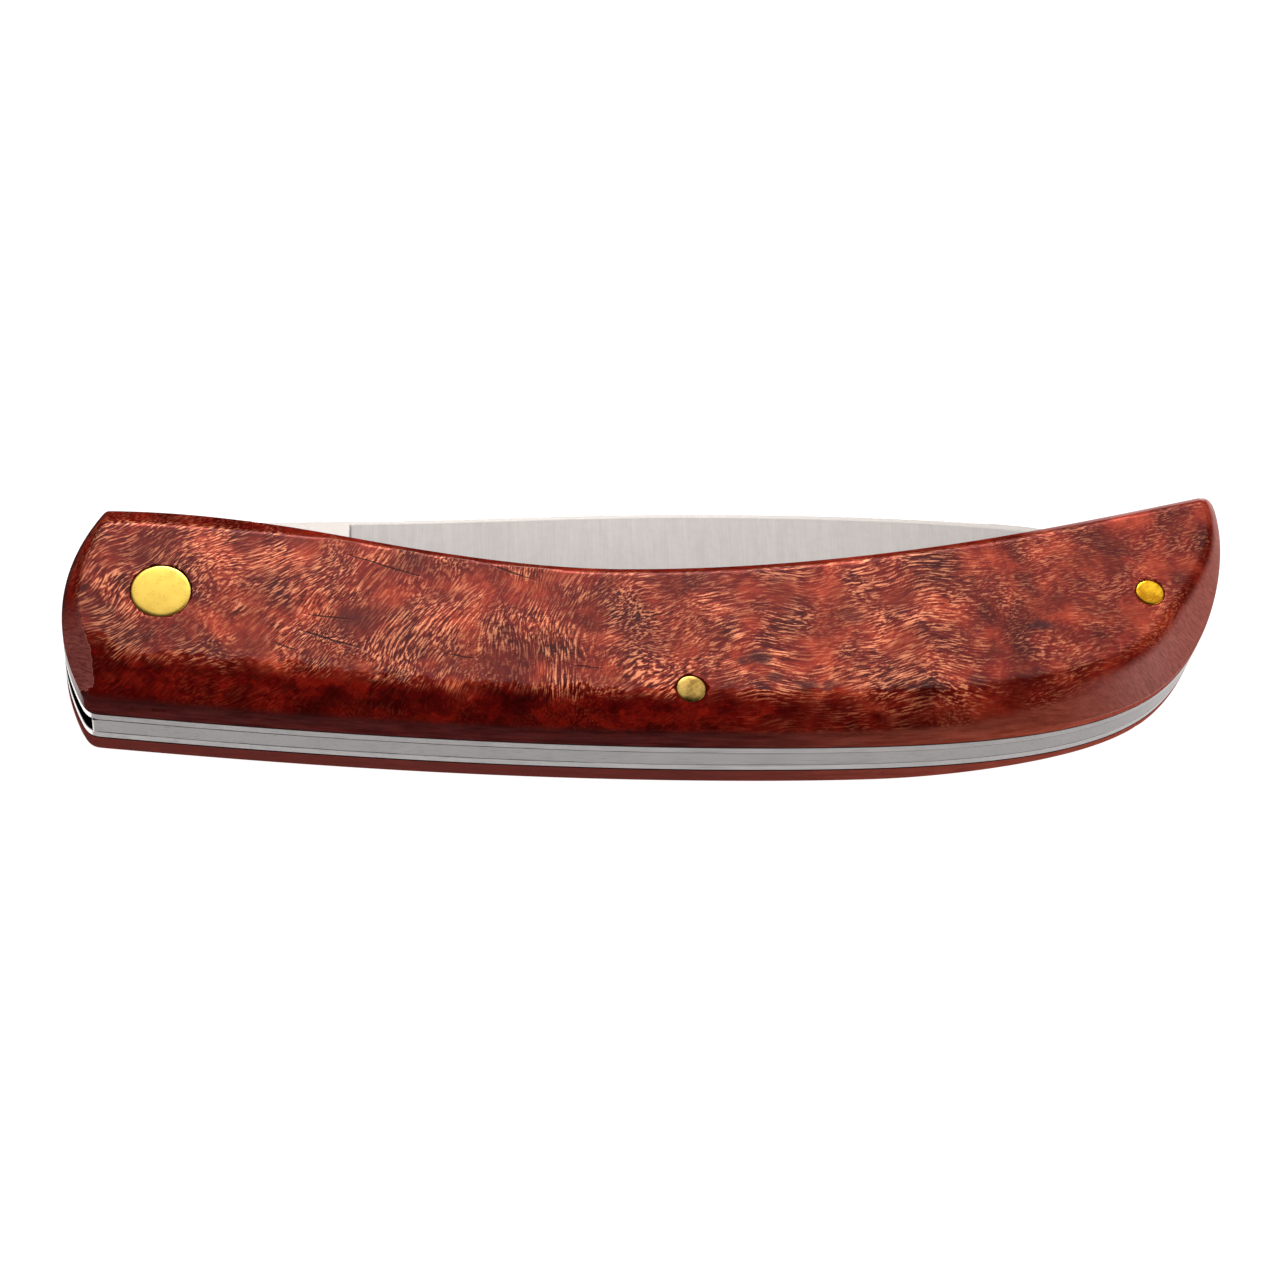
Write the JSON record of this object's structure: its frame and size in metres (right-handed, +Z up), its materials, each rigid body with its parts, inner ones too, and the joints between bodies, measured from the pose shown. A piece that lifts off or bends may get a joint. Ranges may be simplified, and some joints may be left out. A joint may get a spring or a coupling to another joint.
{
  "type": "slip-joint folding pocket knife",
  "caption": "Folding work knife with a drop-point blade, back spring, steel liners, round brass pins and burl wood scales, stored closed.",
  "frame": {"origin": "middle of the bounding box in plan, on the rear scale's outer face", "axes": "+X from the pivot end to the tail, +Y to the side the blade opens from, +Z up to the front scale's face"},
  "size_m": [0.1201, 0.0291, 0.0127],
  "materials": {
    "burl_wood": "lacquered burl, red-brown",
    "black_spacer": "matt",
    "liner_steel": "brushed lengthwise",
    "spring_steel": "brushed lengthwise",
    "blade_steel": "satin, ground across the blade",
    "pivot_brass": "polished",
    "pin_brass": "polished",
    "washer_brass": "plain"
  },
  "bodies": {
    "handle": {"front_scale": "burl_wood", "rear_scale": "burl_wood", "front_spacer": "black_spacer", "rear_spacer": "black_spacer", "front_liner": "liner_steel", "rear_liner": "liner_steel", "back_spring": "spring_steel", "pivot_pin": "pivot_brass", "centre_pin": "pin_brass", "tail_pin": "pin_brass", "front_washer": "washer_brass", "rear_washer": "washer_brass"},
    "blade": {"blade": "blade_steel"},
    "spring_arm": {"back_spring_arm": "spring_steel"}
  },
  "joints": [
    {"name": "blade_pivot", "type": "hinge", "parent": "handle", "child": "blade", "pos_m": [-0.0504, 0.0016, 0.00636], "axis": [0, 0, 1], "range_deg": [0, 180]},
    {"name": "spring_flex", "type": "hinge", "parent": "handle", "child": "spring_arm", "pos_m": [0.002, -0.00975, 0.00636], "axis": [0, 0, 1], "range_deg": [0, 0.8], "stiffness_Nm_per_rad": 500}
  ]
}
